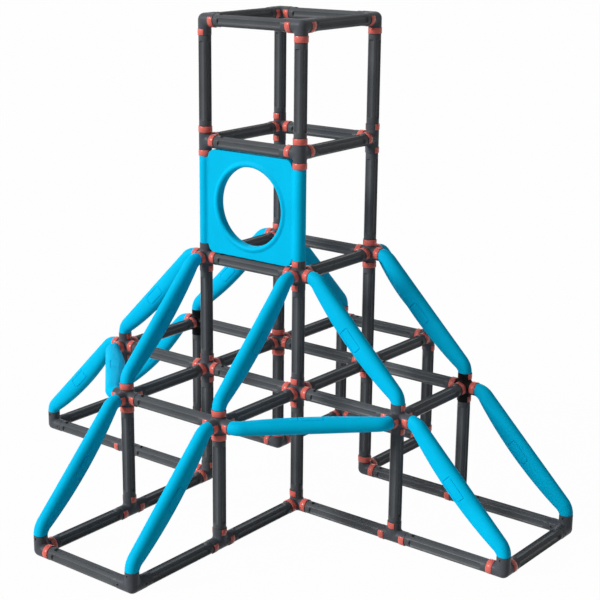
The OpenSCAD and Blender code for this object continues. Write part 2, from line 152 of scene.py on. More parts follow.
# A fillet comes in over this share of an arm's radius, and a way meets the skin within so many radii.
OPEN_SIDE_SHARE = 0.8
CAST_REACH = 4
CAST_HALVINGS = 26
WELD = 0.002 * MM

# Clips: how far each end lies from the pin, in degrees, and the shape of the band.
CLIP_DEG = 120
TEE_CLIP_LONG_DEG = 64
TEE_CLIP_SHORT_DEG = 30
CLIP_GAP = 0.1 * MM
CLIP_BEVEL = 0.5 * MM
CLIP_TIP = 1.2 * MM
CLIP_TIP_DRAW = 0.45
CLIP_TIP_NARROW = 0.08
CLIP_STEPS = 16

# Rails: the angles of a quarter section's points, its oval, and the groove round its field.
RAIL_DEG = np.array([0, 10, 20, 29, 37, 44, 50, 54, 56.5, 58, 59.5, 61, 62.5, 64, 65.5, 67, 69, 73, 79])
OVAL_POWER = 2 / 2.15
SWELL_POWER = 0.75
RAIL_ROWS = 14
FIRST_BEND_ROW = 3.0 * MM
FIELD_HALF_L = 41.0 * MM
FIELD_HALF_D = 18.0 * MM
FIELD_CORNER = 6.0 * MM
FIELD_LEAD = 6.0 * MM
FIELD_ROWS = np.array([-3, -1.8, -1.0, -0.4, 0.2, 0.8, 1.4, 2.0, 2.6, 3.4, 5.0, 9, 18, 30]) * MM
GROOVE_W = 2.6 * MM
GROOVE_EDGE = 0.8 * MM
GROOVE_DEPTH = 2.2 * MM
FLAT_SIDE = 0.6

# Window panel: steps round the window, the web's outline, and how the web meets the posts.
WEB_STEPS = 288
WEB_SHARES = np.array([0.15, 0.3, 0.45, 0.6, 0.72, 0.82, 0.9, 0.96, 1.0])
WEB_EDGE = 1.6 * MM
WEB_EDGE_DEG = np.array([15, 30, 45, 60, 75, 90])
WEB_GAP = 0.1 * MM
WEB_IN_POST = 8.0 * MM
WEB_END = 2.0 * MM
BEAD_ROWS = 10
BEAD_FALL_ROWS = 12
BEAD_FOOT = 3.0 * MM
WALL_ROW_SHARE = 0.5
POST_SINK = 0.25 * MM
POST_FILLET = 5.0 * MM
POST_NEAR = 40.0 * MM
POST_FADE = 4.0 * MM
POST_FADE_PAST = 1.0 * MM
POST_STEPS = 64
POST_ROW_SHARE = 0.5

# Creases sharper than these show as edges.
CREASE_DEG = 50.0
HUB_CREASE_DEG = 38.0

# Each plastic: roughness, grain in cells per metre and its depth, cloudiness and level of gloss.
TUBE_PLASTIC = dict(rough=0.30, grain=900.0, grain_depth=0.1 * MM, mottle=0.10, specular=0.07)
HUB_PLASTIC = dict(rough=0.38, grain=700.0, grain_depth=0.2 * MM, mottle=0.10, specular=0.10)
BLACK_PLASTIC = dict(rough=0.36, grain=700.0, grain_depth=0.2 * MM, mottle=0.20, specular=0.06)
CLIP_PLASTIC = dict(rough=0.22, grain=800.0, grain_depth=0.1 * MM, mottle=0.05, specular=0.24)
RAIL_PLASTIC = dict(rough=0.58, grain=620.0, grain_depth=0.1 * MM, mottle=0.05, specular=0.04)
PLASTIC_IOR = 1.5
CLOUD_STOPS = (0.3, 0.5, 0.72)
WORN_RANGE = (0.3, 0.75)
GLOSSIER = 0.05
DULLER = 0.07
WAVE_DEPTH = 0.6 * MM

# Stage: floor and world are seen as white but light the pieces only a little. Then the camera.
WORLD_LIGHT = 0.05
SEEN_LIGHT = 1.0
FLOOR_HALF = 30.0
FLOOR_DROP = 0.5 * MM
FLOOR_GREY = 0.62
FLOOR_WHITE_SHARE = 0.98
LAMP_DISTANCE = 6.0
CAMERA_LENS = 86.095
CAMERA_SENSOR = 36.0
CAMERA_SHIFT = (0.0918, -0.0115)
CAMERA_AT = (2.9583, -3.5819, 2.0088)
CAMERA_DOWN_DEG = 15.436
CAMERA_TURN_DEG = 39.821


def length_prop(label, words, millimetres):
    """A length in metres, given here in millimetres."""
    return FloatProperty(name=label, description=words, default=millimetres * MM, min=0.0, unit="LENGTH",
                         subtype="DISTANCE", precision=4)


def colour_prop(label, words, default):
    """A base colour, as linear red, green and blue."""
    return FloatVectorProperty(name=label, description=words, default=default, min=0.0, max=1.0,
                               size=3, subtype="COLOR")


class GymSizes(PropertyGroup):
    """Sizes of the pieces, the same as the frame's."""

    pitch: length_prop("Hub spacing", "Distance between neighbouring hub centres", 400.0)
    tube_r: length_prop("Tube radius", "Outside radius of tubes, rail ends and posts", 21.5)
    neck_r: length_prop("Neck radius", "Radius of the necks inside the hubs", 18.0)
    neck_l: length_prop("Neck length", "Length of the necks inside the hubs", 27.0)
    shoulder: length_prop("Shoulder edge", "Rounding of a tube's shoulder", 1.2)
    flute_w: length_prop("Flute width", "Width of each flute along a tube", 20.0)
    flute_depth: length_prop("Flute depth", "Depth of a flute at its middle", 6.0)
    flute_end: length_prop("Flute end", "Plain length before a flute starts", 18.0)
    hub_r: length_prop("Hub arm radius", "Outside radius of a hub arm", 22.3)
    arm_l: length_prop("Hub arm length", "From the hub's centre to an arm's mouth", 50.0)
    socket_r: length_prop("Socket radius", "Inside radius of a hub's sockets", 18.3)
    socket_floor: length_prop("Socket floor", "From the hub's centre to a socket's floor", 20.8)
    fillet: length_prop("Hub fillet", "Width of the fillet where hub arms meet", 7.0)
    clip_w: length_prop("Clip width", "Width of a clip along its arm", 20.0)
    clip_t: length_prop("Clip thickness", "Thickness of a clip's band", 1.6)
    clip_inset: length_prop("Clip inset", "From a clip's edge to the arm's mouth", 0.4)
    pin_hole_r: length_prop("Pin hole radius", "Radius of the pin holes in the hub arms", 3.4)
    bend_r: length_prop("Rail bend radius", "Radius of a rail's bends at its middle", 52.0)
    belly: length_prop("Rail swell", "Half of a rail's growth in depth at mid length", 13.5)
    rail_grow: length_prop("Rail widening", "Half of a rail's growth in width at mid length", 3.5)
    window_r: length_prop("Window radius", "Radius of the panel's round window", 133.0)
    web_t: length_prop("Panel thickness", "Thickness of the panel's web", 26.0)
    web_over: length_prop("Panel upper gap", "From the bar's axis above to the web's edge", 23.5)
    web_under: length_prop("Panel lower gap", "From the bar's axis below to the web's edge", 24.5)
    bead_w: length_prop("Bead width", "Width of the bead around the window", 19.0)
    bead_proud: length_prop("Bead height", "How far the bead stands proud of the web", 5.0)


class GymColours(PropertyGroup):
    """Base colours of the moulded plastics."""

    tube: colour_prop("Tubes", "Anthracite of the tubes", (0.090, 0.096, 0.103))
    hub: colour_prop("Hubs", "Anthracite of the hubs", (0.080, 0.086, 0.098))
    black: colour_prop("Black hubs", "Black of the five-way hubs", (0.006, 0.006, 0.007))
    clip: colour_prop("Clips", "Coral red of the clips", (0.76, 0.150, 0.120))
    rail: colour_prop("Rails", "Cyan blue of the rails and panel", (0.0, 0.55, 0.885))


def heading(letter):
    """Unit direction of an arm letter."""
    return np.array(HEADING[letter], float)


def pin_side(arm, upright, level):
    """Side of a hub's arm that its pin faces."""
    if arm in "Zz":
        return heading(upright)
    return heading(level or ("y" if arm in "Xx" else "X"))


def place(sizes, spot):
    """Centre of a hub from its place on the grid, with the tower half a step to either side of X = 0."""
    return np.array([spot[0] - 0.5, spot[1], spot[2]]) * sizes.pitch + np.array([0, 0, sizes.tube_r])


def aim(points, along, side, centre):
    """Points of a piece drawn along +Z, turned so that Z runs along and X faces side."""
    turn = np.column_stack([side, np.cross(along, side), along])
    return points @ turn.T + centre


NO_TRIS = np.zeros((0, 3), int)


def grid_quads(rows, cols, wrap_rows=False):
    """Faces of a grid of rows by cols points whose columns close on themselves."""
    r = np.arange(rows if wrap_rows else rows - 1)[:, None]
    c = np.arange(cols)[None, :]
    nxt_r, nxt_c = (r + 1) % rows, (c + 1) % cols
    corners = [r * cols + c, r * cols + nxt_c, nxt_r * cols + nxt_c, nxt_r * cols + c]
    return np.stack(corners, -1).reshape(-1, 4)


def capped_sleeve(rings):
    """Closed surface over rings[row, col, xyz], with a fan from each end ring to its centre."""
    rows, cols, _ = rings.shape
    points = np.concatenate([rings.reshape(-1, 3), rings[0].mean(0)[None], rings[-1].mean(0)[None]])
    c = np.arange(cols)
    nxt = (c + 1) % cols
    last = (rows - 1) * cols
    first_cap = np.stack([nxt, c, np.full(cols, rows * cols)], -1)
    last_cap = np.stack([last + c, last + nxt, np.full(cols, rows * cols + 1)], -1)
    return points, grid_quads(rows, cols), np.concatenate([first_cap, last_cap])


def facing_out(points, quads, tris):
    """The same faces, turned round if the shell's signed volume is negative."""
    corners = np.concatenate([quads[:, [0, 1, 2]], quads[:, [0, 2, 3]], tris])
    a, b, c = (points[corners[:, n]] - points.mean(0) for n in range(3))
    if np.einsum("ij,ij->", a, np.cross(b, c)) < 0:
        return points, quads[:, ::-1], tris[:, ::-1]
    return points, quads, tris


def joined(shells):
    """Several shells of points, quads and triangles as one."""
    points, quads, tris, base = [], [], [], 0
    for p, q, t in shells:
        points.append(p)
        quads.append(q + base)
        tris.append(t + base)
        base += len(p)
    return np.concatenate(points), np.concatenate(quads), np.concatenate(tris)


def welded(points, quads, tris):
    """The same shell with points that lie within a hair of each other made one."""
    cells = np.round(points / WELD).astype(np.int64)
    _, first, back = np.unique(cells, axis=0, return_index=True, return_inverse=True)
    back = back.reshape(-1)
    return points[first], back[quads], back[tris]


def make_piece(node, shells, material, crease_deg=CREASE_DEG):
    """One object from closed shells, riding on the frame in place of its CAD node."""
    name = node + "_look"
    points, quads, tris = joined(shells)
    mesh = bpy.data.meshes.new(name)
    mesh.vertices.add(len(points))
    mesh.vertices.foreach_set("co", points.astype(np.float32).ravel())
    loops = np.concatenate([quads.ravel(), tris.ravel()]).astype(np.int32)
    starts = np.concatenate([np.arange(len(quads)) * 4, len(quads) * 4 + np.arange(len(tris)) * 3])
    mesh.loops.add(len(loops))
    mesh.loops.foreach_set("vertex_index", loops)
    mesh.polygons.add(len(starts))
    mesh.polygons.foreach_set("loop_start", starts.astype(np.int32))
    mesh.polygons.foreach_set("use_smooth", np.ones(len(starts), bool))
    mesh.update(calc_edges=True)
    if mesh.validate():
        raise RuntimeError(name + " has faces that don't hold")
    mesh.set_sharp_from_angle(angle=math.radians(crease_deg))
    mesh.materials.append(material)
    piece = bpy.data.objects.new(name, mesh)
    bpy.context.scene.collection.objects.link(piece)
    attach(piece, "root")
    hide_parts(node)


def smooth_step(x):
    """0 below 0, 1 above 1, and an S curve between."""
    x = np.clip(x, 0.0, 1.0)
    return x * x * (3.0 - 2.0 * x)


def soft_min(a, b, width):
    """The lesser of a and b, rounded where they are within width of each other."""
    near = np.maximum(width - np.abs(a - b), 0.0) / width
    return np.minimum(a, b) - near * near * width / 4.0


def turned(radius, z, angle):
    """Rings about Z: the radius of each row, or of each point of it, at heights z."""
    ones = np.ones_like(angle)
    return np.stack([radius * np.cos(angle), radius * np.sin(angle), z[:, None] * ones], -1)


def neck_profile(sizes):
    """A neck from its end face to the shoulder: the length past the shoulder, and the radius there."""
    length, r = sizes.neck_l, sizes.neck_r
    past = np.array([length, length, length - NECK_BEVEL, 0.0])
    return past, np.array([NECK_CAP_SHARE * r, r - NECK_BEVEL, r, r])


def flute_floor(sizes, d):
    """Radius of a flute's floor at an angle d from the flute's middle.

    A flute is the near side of a large circle that cuts the tube. The circle lies at
    D cos d - sqrt(F^2 - D^2 sin^2 d), with F its radius and D its centre's distance.
    """
    r, half_w = sizes.tube_r, sizes.flute_w / 2
    bottom = r - sizes.flute_depth
    sag = math.sqrt(r * r - half_w * half_w) - bottom
    circle = (half_w * half_w + sag * sag) / (2 * sag)
    centre = bottom + circle
    reach = np.minimum(np.abs(centre * np.sin(d)), circle * FLUTE_REACH_SHARE)
    return centre * np.cos(d) - np.sqrt(circle * circle - reach * reach)


def tube_surface(sizes):
    """One fluted tube along Z about its middle, closed, with its necks.

    Radius at angle t and height z: the tube's radius, less the flute's depth there. A flute
    lies at every quarter turn, and its edges are rounded. Its depth fades to nothing over a
    short rise at each end, which starts further in the further it is from the flute's middle.
    """
    r, edge = sizes.tube_r, sizes.shoulder
    half = sizes.pitch / 2 - sizes.arm_l
    start = half - sizes.flute_end
    angle = np.concatenate([np.radians(FLUTE_DEG) + k * QUARTER_TURN for k in range(4)])
    d = (angle + EIGHTH_TURN) % QUARTER_TURN - EIGHTH_TURN
    fluted = soft_min(np.full_like(d, r), flute_floor(sizes, d), FLUTE_EDGE)
    run_out = np.linspace(RUN_OUT_LEAD, -(FLUTE_RISE + FLUTE_BOW + RUN_OUT_TAIL), RUN_OUT_ROWS)
    upper_z = np.concatenate([half - SHOULDER_ALONG * edge, [start + PLAIN_ROW], start + run_out,
                              start * MIDDLE_SHARES])
    upper_r = np.full(len(upper_z), r)
    upper_r[:len(SHOULDER_IN)] -= SHOULDER_IN * edge
    z = np.concatenate([-upper_z, upper_z[::-1][1:]])
    plain = np.concatenate([upper_r, upper_r[::-1][1:]])
    bow = FLUTE_BOW * (d / math.radians(FLUTE_BOW_DEG)) ** 2
    share = smooth_step((start - np.abs(z)[:, None] - bow[None]) / FLUTE_RISE)
    body = plain[:, None] - share * np.maximum(r - fluted, 0.0)[None]
    past, neck_r = neck_profile(sizes)
    neck = neck_r[:, None] * np.ones_like(angle)
    z = np.concatenate([-half - past, z, half + past[::-1]])
    return facing_out(*capped_sleeve(turned(np.concatenate([neck, body, neck[::-1]]), z, angle)))


def arm_spot(arm, corner, steps, level):
    """Grid place some steps out along an arm, from the first or second of its tower corners."""
    way, corners, _ = ARMS[arm]
    return (corners[corner][0] + steps * way[0], corners[corner][1] + steps * way[1], level)


def tube_runs():
    """The grid places that each tube node's tubes run between.

    The window panel's posts take the place of two tubes of the tower's middle posts.
    """
    runs = {}
    for node, level, posts in (("tower_floor_posts", 0, CORNERS), ("tower_low_posts", 1, CORNERS),
                               ("tower_middle_posts", 2, CORNERS[2:]), ("tower_top_posts", 3, CORNERS)):
        runs[node] = [((*c, level), (*c, level + 1)) for c in posts]
    for node, level in (("tower_low_bars", 1), ("tower_middle_bars", 2), ("tower_upper_bars", 3),
                        ("tower_top_bars", 4)):
        runs[node] = [((*CORNERS[n], level), (*CORNERS[(n + 1) % 4], level)) for n in range(4)]
    for arm, (_, _, reach) in ARMS.items():
        posts = [(arm_spot(arm, c, 1, 0), arm_spot(arm, c, 1, 1)) for c in (0, 1)]
        bars = [(arm_spot(arm, c, 0, 1), arm_spot(arm, c, 1, 1)) for c in (0, 1)]
        end_bar = (arm_spot(arm, 0, 1, 1), arm_spot(arm, 1, 1, 1))
        floor_bars = [(arm_spot(arm, c, n, 0), arm_spot(arm, c, n + 1, 0))
                      for c in (0, 1) for n in range(reach)]
        floor_end_bar = (arm_spot(arm, 0, reach, 0), arm_spot(arm, 1, reach, 0))
        runs[arm + "_arm_posts"] = posts
        runs[arm + "_arm_bars"] = [*bars, end_bar]
        runs[arm + "_floor_bars"] = [*floor_bars, floor_end_bar]
    return runs


def hub_skin(sizes, arms, points):
    """Signed distance to a hub's skin: the nearest arm's round bar, with a fillet between arms.

    Each arm is a half line from the centre with the arm's radius. Where a point lies on the
    open side of two arms that are square to each other, their distances are joined by a
    rounded least value, which makes the fillet.
    """
    r = sizes.hub_r
    reach = points @ arms.T
    nearest = np.maximum(reach, 0.0)[..., None] * arms[None]
    spread = np.linalg.norm(points[:, None] - nearest, axis=-1) - r
    skin = spread.min(1)
    for i in range(len(arms)):
        for k in range(i + 1, len(arms)):
            if arms[i] @ arms[k] == 0:
                open_side = smooth_step(np.minimum(reach[:, i], reach[:, k]) / (OPEN_SIDE_SHARE * r))
                joint = soft_min(spread[:, i], spread[:, k], sizes.fillet)
                least = np.minimum(spread[:, i], spread[:, k])
                skin = np.minimum(skin, least + (joint - least) * open_side)
    return skin


def cast(sizes, arms, origins, ways):
    """Distance along each way from its origin to the hub's skin, by halving."""
    low = np.zeros(len(ways))
    high = np.full(len(ways), CAST_REACH * sizes.hub_r)
    for _ in range(CAST_HALVINGS):
        mid = (low + high) / 2
        inside = hub_skin(sizes, arms, origins + ways * mid[:, None]) < 0
        low, high = np.where(inside, mid, low), np.where(inside, high, mid)
    return (low + high) / 2


def cast_from_centre(sizes, arms, ways):
    """Points where ways from a hub's centre leave its skin."""
    ways = ways / np.linalg.norm(ways, axis=1)[:, None]
    return ways * cast(sizes, arms, np.zeros_like(ways), ways)[:, None]


def hub_patch(sizes, arms, axes, spread):
    """A hub's side that has no arm: a square of ways from the centre, cast on to the skin."""
    d, e1, e2 = axes
    n = len(spread)
    u, v = np.meshgrid(spread, spread, indexing="ij")
    points = cast_from_centre(sizes, arms, d + u.reshape(-1, 1) * e1 + v.reshape(-1, 1) * e2)
    i, k = np.meshgrid(np.arange(n - 1), np.arange(n - 1), indexing="ij")
    a = (i * n + k).ravel()
    return points, np.stack([a, a + n, a + n + 1, a + 1], -1), NO_TRIS


def hub_sleeve(sizes, arms, axes, spread, has_bare_arm, pin):
    """A hub's side that has an arm, with its socket: rings from the side's rim to the socket's floor.

    The rim is a square of ways cast from the centre on to the skin. Further rings are cast
    outwards from the arm's axis, up to the lip at its mouth. The lip is rounded and turns into
    the socket. Where a pin direction is given, the arm has no clip, and its pin hole is a
    round pit in the sleeve on that side.
    """
    d, e1, e2 = axes
    r, mouth = sizes.hub_r, sizes.arm_l
    pin_at = mouth - sizes.clip_inset - sizes.clip_w / 2
    ones = np.ones(len(spread) - 1)
    u = np.concatenate([ones, -spread[:-1], -ones, spread[:-1]])
    v = np.concatenate([spread[:-1], ones, -spread[:-1], -ones])
    rim = cast_from_centre(sizes, arms, d + u[:, None] * e1 + v[:, None] * e2)
    angle = np.arctan2(v, u)
    out = np.cos(angle)[:, None] * e1 + np.sin(angle)[:, None] * e2
    rim_h = rim @ d
    sleeve_end = mouth - (BARE_SLEEVE_END if has_bare_arm else PLAIN_SLEEVE_END)
    level_rows = np.append(pin_at + PIT_ROWS if has_bare_arm else [], mouth - LIP_START)
    heights = np.concatenate([rim_h[None] + (sleeve_end - rim_h)[None] * SLEEVE_SHARES[:, None],
                              level_rows[:, None] * np.ones_like(rim_h)])
    axis_points = heights[..., None] * d
    ways = np.broadcast_to(out, axis_points.shape)
    radius = cast(sizes, arms, axis_points.reshape(-1, 3), ways.reshape(-1, 3)).reshape(heights.shape)
    if pin is not None:
        turn = np.arctan2(out @ np.cross(d, pin), out @ pin)
        away = np.hypot(turn[None] * r, heights - pin_at)
        radius = radius - PIT_DEPTH * smooth_step((sizes.pin_hole_r + PIT_LIP - away) / PIT_WALL)
    sleeve = axis_points + out[None] * radius[..., None]
    lip_r = np.append(r - LIP_IN, sizes.socket_r * np.array([1, 1, SOCKET_CAP_SHARE]))
    lip_h = np.append(mouth - LIP_DROP, [mouth, sizes.socket_floor, sizes.socket_floor])
    lip = lip_h[:, None, None] * d + out[None] * lip_r[:, None, None]
    rings = np.concatenate([rim[None], sleeve, lip])
    rows, cols = rings.shape[:2]
    points = np.concatenate([rings.reshape(-1, 3), (sizes.socket_floor * d)[None]])
    c = np.arange(cols)
    last = (rows - 1) * cols
    fan = np.stack([last + c, last + (c + 1) % cols, np.full(cols, rows * cols)], -1)
    return points, grid_quads(rows, cols), fan


def hub_surface(sizes, letters, upright, level, bare):
    """One hub about its centre, closed, with its sockets.

    The six sides of a cube round the centre are each one patch: a sleeve where the hub has an
    arm and a square where it has none. Neighbouring patches share their rims and are welded.
    """
    arms = np.array([heading(a) for a in letters])
    half = BARE_HUB_DEG if bare else PLAIN_HUB_DEG
    spread = np.tan(np.radians(np.concatenate([-half[::-1], half[1:]])))
    shells = []
    for letter in HEADING:
        d = heading(letter)
        e1 = np.roll(np.abs(d), 1)
        axes = (d, e1, np.cross(d, e1))
        if letter in letters:
            pin = pin_side(letter, upright, level) if letter in bare else None
            shells.append(hub_sleeve(sizes, arms, axes, spread, bool(bare), pin))
        else:
            shells.append(hub_patch(sizes, arms, axes, spread))
    return welded(*joined(shells))


def floor_flat(points):
    """The same points with nothing below the floor."""
    points = points.copy()
    points[:, 2] = np.maximum(points[:, 2], 0.0)
    return points


def clip_surface(sizes, low_deg, high_deg):
    """One clip on an arm along Z, its pin to +X: a rounded band carried about the arm.

    The section is a rectangle of width by thickness with bevelled edges. It is carried from
    one angle to the other, and its end sections are drawn in to round the band's ends.
    """
    inner = sizes.hub_r + CLIP_GAP
    t, w, b = sizes.clip_t, sizes.clip_w, CLIP_BEVEL
    middle = sizes.arm_l - sizes.clip_inset - w / 2
    section_r = np.array([0, 0, b, t - b, t, t, t - b, b])
    section_z = np.array([b, w - b, w, w, w - b, b, 0, 0])
    tip = math.degrees(CLIP_TIP / inner)
    between = np.linspace(low_deg + tip, high_deg - tip, CLIP_STEPS)
    angle = np.radians(np.concatenate([[low_deg], between, [high_deg]]))
    draw = np.ones(len(angle))
    draw[[0, -1]] = CLIP_TIP_DRAW
    narrow = 1 - (1 - draw) * CLIP_TIP_NARROW
    rad = inner + t / 2 + (section_r - t / 2)[None] * draw[:, None]
    high = middle + (section_z - w / 2)[None] * narrow[:, None]
    rings = np.stack([rad * np.cos(angle)[:, None], rad * np.sin(angle)[:, None], high], -1)
    return facing_out(*capped_sleeve(rings))


def rail_runs():
    """Each rail: the hub it leaves, the direction it leaves in, the side it enters the next hub from.

    An arm has a pair of upper rails and, where it is two steps long, a pair of lower rails one
    step further out and one level down. Two level rails brace the corners beside the front arm.
    """
    runs = {}
    for arm, (way, *sides) in RAIL_SIDES.items():
        for step, storey in enumerate(STOREYS[:ARMS[arm][2]]):
            for corner, side in enumerate(sides):
                runs[f"{arm}_{side}_{storey}_rail"] = (arm_spot(arm, corner, step, 2 - step), way, "Z")
    runs["right_corner_rail"] = (arm_spot("front", 1, 1, 1), "X", "y")
    runs["left_corner_rail"] = (arm_spot("front", 0, 1, 1), "x", "y")
    return runs


def rail_lengths(sizes):
    """Lengths along a rail's base line: of one bend, and from its shoulder to its middle."""
    mouth, bend, pitch = sizes.arm_l, sizes.bend_r, sizes.pitch
    arc = bend * EIGHTH_TURN
    bend_end = np.array([mouth + bend * math.sin(EIGHTH_TURN), -bend + bend * math.cos(EIGHTH_TURN)])
    middle = np.array([bend_end.sum() + pitch, bend_end.sum() - pitch]) / 2
    return arc, arc + np.linalg.norm(middle - bend_end)


def rail_line(sizes, near):
    """A rail's base line in the plane of its two directions, and the inward direction along it.

    Over its first half, at the lengths near, the line leaves along the first direction, turns
    by an eighth of a turn on the bend and runs straight. The second half mirrors the first.
    """
    mouth, bend, pitch = sizes.arm_l, sizes.bend_r, sizes.pitch
    bent = np.clip(near / bend, 0, EIGHTH_TURN)
    straight = np.maximum(near - bend * EIGHTH_TURN, 0.0)
    a = mouth + bend * np.sin(bent) + straight * math.cos(EIGHTH_TURN)
    b = -bend + bend * np.cos(bent) - straight * math.sin(EIGHTH_TURN)
    inward = np.stack([-np.sin(bent), -np.cos(bent)], -1)
    line = np.stack([a, b], -1)
    back_line = np.stack([pitch + b, a - pitch], -1)[::-1][1:]
    back_inward = inward[:, ::-1][::-1][1:]
    return np.concatenate([line, back_line]), np.concatenate([inward, back_inward])


def field_groove(from_middle, depth):
    """Share of the groove's depth at a length from a rail's middle and a depth from its line.

    The field's outline is a rectangle with round corners. The groove lies just inside it: an
    S curve down at the outline and an S curve up again after the groove's width.
    """
    off_l = np.abs(from_middle) - (FIELD_HALF_L - FIELD_CORNER)
    off_d = np.abs(depth) - (FIELD_HALF_D - FIELD_CORNER)
    outside = np.hypot(np.maximum(off_l, 0), np.maximum(off_d, 0))
    inside = FIELD_CORNER - outside - np.minimum(np.maximum(off_l, off_d), 0)
    return smooth_step(inside / GROOVE_EDGE) - smooth_step((inside - GROOVE_W) / GROOVE_EDGE)


def rail_surface(sizes, leave, enter):
    """One bowed rail from its first hub's centre at the origin, closed, with its necks.

    The section is a rounded oval on the base line. At a share f of the length it is deeper by
    2 belly sin(pi f)^0.75, all on the inner side, and wider by 2 grow sin(pi f)^0.75. A groove
    runs round a bare field on each flat side.
    """
    r, edge = sizes.tube_r, sizes.shoulder
    arc, half = rail_lengths(sizes)
    field_at = half - FIELD_HALF_L
    bend_rows = np.linspace(FIRST_BEND_ROW, arc, RAIL_ROWS)
    run_rows = np.linspace(arc, field_at - FIELD_LEAD, RAIL_ROWS)[1:]
    near = np.concatenate([SHOULDER_ALONG * edge, bend_rows, run_rows, field_at + FIELD_ROWS, [half]])
    line, inward = rail_line(sizes, near)
    along = np.concatenate([near, (2 * half - near)[::-1][1:]])
    drawn_in = np.zeros(len(along))
    drawn_in[:len(SHOULDER_IN)] = SHOULDER_IN * edge
    drawn_in[-len(SHOULDER_IN):] = SHOULDER_IN[::-1] * edge
    swell = np.sin(np.pi * np.clip(along / (2 * half), 0, 1)) ** SWELL_POWER
    deep = r + sizes.belly * swell - drawn_in
    wide = r + sizes.rail_grow * swell - drawn_in
    half_turn = np.radians(np.concatenate([RAIL_DEG, [90], 180 - RAIL_DEG[::-1][:-1]]))
    turn = np.concatenate([half_turn, half_turn + math.pi])
    cos, sin = np.cos(turn), np.sin(turn)
    depth = deep[:, None] * np.sign(cos) * np.abs(cos) ** OVAL_POWER
    width = wide[:, None] * np.sign(sin) * np.abs(sin) ** OVAL_POWER
    sunk = GROOVE_DEPTH * field_groove((along - half)[:, None], depth)
    width = width - np.sign(sin) * sunk * (np.abs(sin) > FLAT_SIDE)
    off_line = depth + (sizes.belly * swell)[:, None]
    flat = line[:, None, :] + inward[:, None, :] * off_line[..., None]
    third = np.cross(leave, enter)
    rings = flat[..., :1] * leave + flat[..., 1:] * enter + width[..., None] * third
    past, neck_r = neck_profile(sizes)
    neck_at = (sizes.arm_l - past)[:, None, None]
    round_d, round_w = neck_r[:, None] * -cos, neck_r[:, None] * sin
    first = neck_at * leave + round_d[..., None] * enter + round_w[..., None] * third
    last = neck_at * enter + round_d[..., None] * leave + round_w[..., None] * third
    far_hub = sizes.pitch * (leave - enter)
    return facing_out(*capped_sleeve(np.concatenate([first, rings, far_hub + last[::-1]])))


def web_rim(sizes, c, s):
    """Distance from the window's centre to the web's outline, at angles of cosine c and sine s.

    It is the further of two outlines: a rectangle with round corners that fills the space
    between the posts, and a plain rectangle beside the posts that ends inside them.
    """
    half_w, post_half = sizes.pitch / 2, sizes.pitch / 2 - sizes.arm_l
    inner_w = half_w - sizes.tube_r - WEB_GAP
    top = half_w - np.where(s > 0, sizes.web_over, sizes.web_under)
    corner = top - post_half
    c, s = np.abs(c), np.abs(s)
    plain = np.minimum(inner_w / c, top / s)
    hx, hz = inner_w - corner, top - corner
    dot = c * hx + s * hz
    under = np.maximum(dot * dot - (hx * hx + hz * hz - corner * corner), 0)
    in_corner = (c * plain > hx) & (s * plain > hz)
    rounded = np.where(in_corner, dot + np.sqrt(under), plain)
    return np.maximum(rounded, np.minimum((half_w - WEB_IN_POST) / c, (post_half - WEB_END) / s))


def bead_profile(sizes):
    """Radius and height of one face of the bead, from the window's wall to the web.

    A quarter round rises from the wall to the bead's crest. From there the height falls to the
    web's face as half a cosine wave, and ends a little past the bead's width.
    """
    face, bead = sizes.web_t / 2, sizes.bead_w / 2
    base = face + sizes.bead_proud - bead
    crest_r = sizes.window_r + bead
    rise = np.linspace(math.pi, QUARTER_TURN, BEAD_ROWS)
    fall = np.linspace(0, 1, BEAD_FALL_ROWS)[1:]
    fall_h = face + sizes.bead_proud * (1 + np.cos(math.pi * fall)) / 2
    radius = np.concatenate([[sizes.window_r], crest_r + bead * np.cos(rise),
                             crest_r + (bead + BEAD_FOOT) * fall])
    height = np.concatenate([[base * WALL_ROW_SHARE], base + bead * np.sin(rise), fall_h])
    return radius, height


def web_surface(sizes):
    """The panel's web about the window's centre, closed: one section carried round the window.

    At each angle the section runs from the window's wall over the bead, out along the web to
    its outline and back along the far face. Near a post the face rises on to it: its height
    is the rounded greater of the web's and the post's.
    """
    half_w, post_half = sizes.pitch / 2, sizes.pitch / 2 - sizes.arm_l
    face = sizes.web_t / 2
    angle = np.linspace(0, 2 * math.pi, WEB_STEPS, endpoint=False) + math.pi / WEB_STEPS
    c, s = np.cos(angle), np.sin(angle)
    bead_r, bead_h = bead_profile(sizes)
    flat_end = web_rim(sizes, c, s) - WEB_EDGE
    web_r = bead_r[-1] + (flat_end - bead_r[-1])[:, None] * WEB_SHARES
    round_off = np.radians(WEB_EDGE_DEG)
    end_r = flat_end[:, None] + WEB_EDGE * np.sin(round_off)
    end_h = face - WEB_EDGE + WEB_EDGE * np.cos(round_off)
    rad = np.concatenate([np.tile(bead_r, (WEB_STEPS, 1)), web_r, end_r], 1)
    high = np.tile(np.concatenate([bead_h, np.full(len(WEB_SHARES), face), end_h]), (WEB_STEPS, 1))
    x = np.abs(rad * c[:, None])
    z = np.abs(rad * s[:, None])
    post = np.sqrt(np.maximum(sizes.tube_r ** 2 - (half_w - x) ** 2, 0.0)) - POST_SINK
    raised = -soft_min(-np.full_like(x, face), -post, POST_FILLET)
    beside = (x > half_w - POST_NEAR) * smooth_step((post_half + POST_FADE_PAST - z) / POST_FADE)
    on_web = np.arange(rad.shape[1]) >= len(bead_r)
    high = np.where(on_web & (beside > 0), np.maximum(high, high + (raised - high) * beside), high)
    rad = np.concatenate([rad, rad[:, ::-1]], 1)
    high = np.concatenate([high, -high[:, ::-1]], 1)
    rings = np.stack([rad * c[:, None], -high, rad * s[:, None]], -1)
    rows, cols = rings.shape[:2]
    return facing_out(rings.reshape(-1, 3), grid_quads(rows, cols, wrap_rows=True), NO_TRIS)


